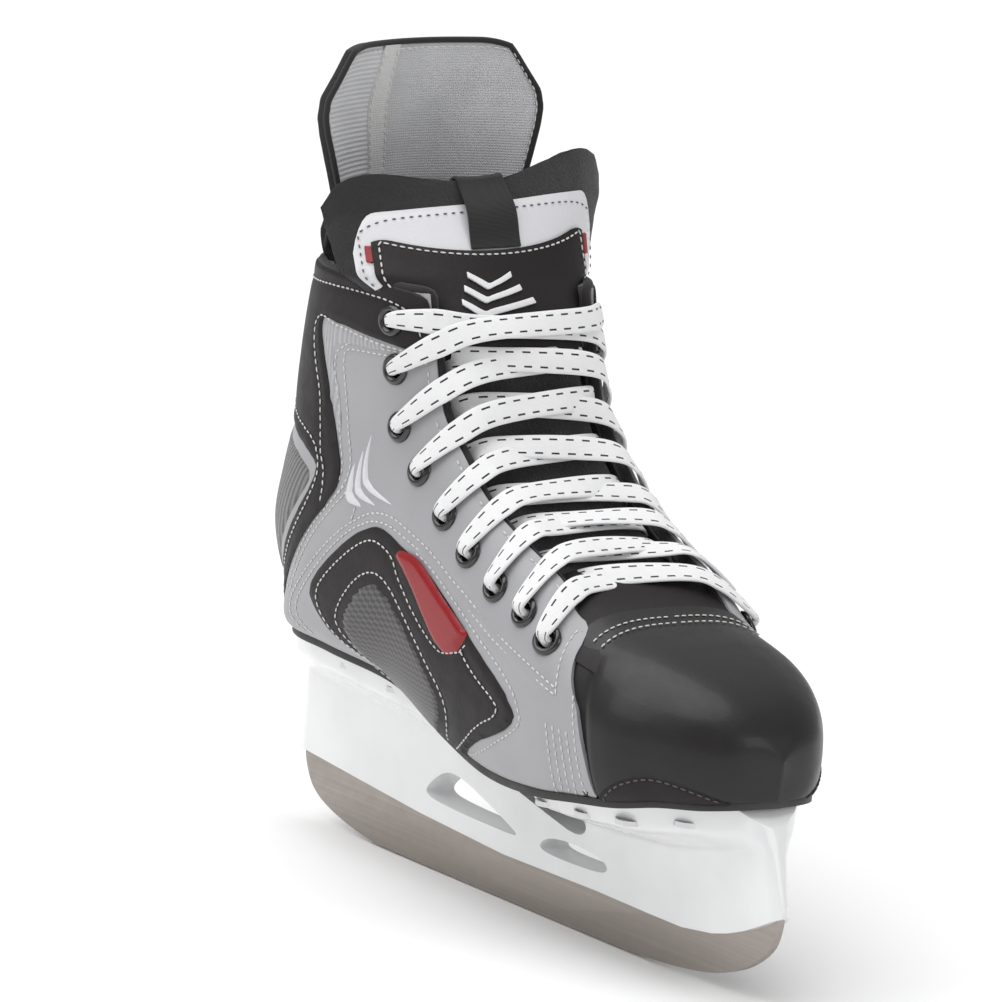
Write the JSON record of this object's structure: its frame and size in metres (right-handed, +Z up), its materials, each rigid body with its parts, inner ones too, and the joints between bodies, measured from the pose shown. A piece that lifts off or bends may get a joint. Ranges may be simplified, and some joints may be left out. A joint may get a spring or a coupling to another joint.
{
  "type": "ice hockey skate",
  "caption": "Junior ice hockey skate: laced boot with padded tongue, flexible tendon guard, rigid toe cap, moulded blade holder and steel runner.",
  "frame": {"origin": "middle of the flat part of the runner's running edge, on the ice surface", "axes": "+X towards the toe, +Y towards the lateral side of a left skate, +Z up"},
  "size_m": [0.2773, 0.108, 0.2766],
  "materials": {
    "steel_runner": "brushed",
    "holder_white": "gloss",
    "fastener_steel": "satin",
    "outsole_black": "satin",
    "board_grey": "matte",
    "footbed_foam": "matte",
    "quarter_grey": "satin",
    "lining_felt": "matte",
    "panel_black": "satin",
    "heel_mesh": "matte",
    "badge_red": "gloss",
    "eyelet_black": "gloss",
    "toe_cap_black": "semi-gloss",
    "tongue_felt": "matte",
    "tongue_silver": "satin",
    "badge_black": "satin",
    "strap_black": "matte",
    "lace_white": "matte",
    "lace_tip": "gloss",
    "guard_felt": "matte",
    "guard_knit": "matte",
    "tape_light": "matte"
  },
  "bodies": {
    "boot": {"runner": "steel_runner", "holder": "holder_white", "blade_bolts": "fastener_steel", "blade_nuts": "fastener_steel", "front_rivets": "fastener_steel", "rear_rivets": "fastener_steel", "outsole": "outsole_black", "insole_board": "board_grey", "footbed": "footbed_foam", "quarter_right": "quarter_grey", "quarter_left": "quarter_grey", "lining_right": "lining_felt", "lining_left": "lining_felt", "collar_right": "panel_black", "collar_left": "panel_black", "heel_panel_right": "heel_mesh", "heel_panel_left": "heel_mesh", "arch_panel_right": "panel_black", "arch_panel_left": "panel_black", "badge_right": "badge_red", "badge_left": "badge_red", "eyelets_right": "eyelet_black", "eyelets_left": "eyelet_black", "toe_cap": "toe_cap_black", "toe_liner": "lining_felt", "tongue_lower": "tongue_felt", "tongue_badge": "badge_black", "guard_base": "guard_felt", "lace": "lace_white", "lace_tips": "lace_tip"},
    "tongue_top": {"tongue_upper": "tongue_felt", "tongue_face": "tongue_silver", "tongue_loop": "strap_black"},
    "guard": {"tendon_guard": "guard_felt", "guard_lining": "guard_knit", "guard_seam_tape": "tape_light"}
  },
  "joints": [
    {"name": "tongue_fold", "type": "hinge", "parent": "boot", "child": "tongue_top", "pos_m": [-0.05, 0, 0.212], "axis": [0, 1, 0], "range_deg": [-3, 30], "stiffness_Nm_per_rad": 0.05},
    {"name": "guard_flex", "type": "hinge", "parent": "boot", "child": "guard", "pos_m": [-0.121, 0, 0.2045], "axis": [0, -1, 0], "range_deg": [-3, 25], "stiffness_Nm_per_rad": 0.3}
  ]
}
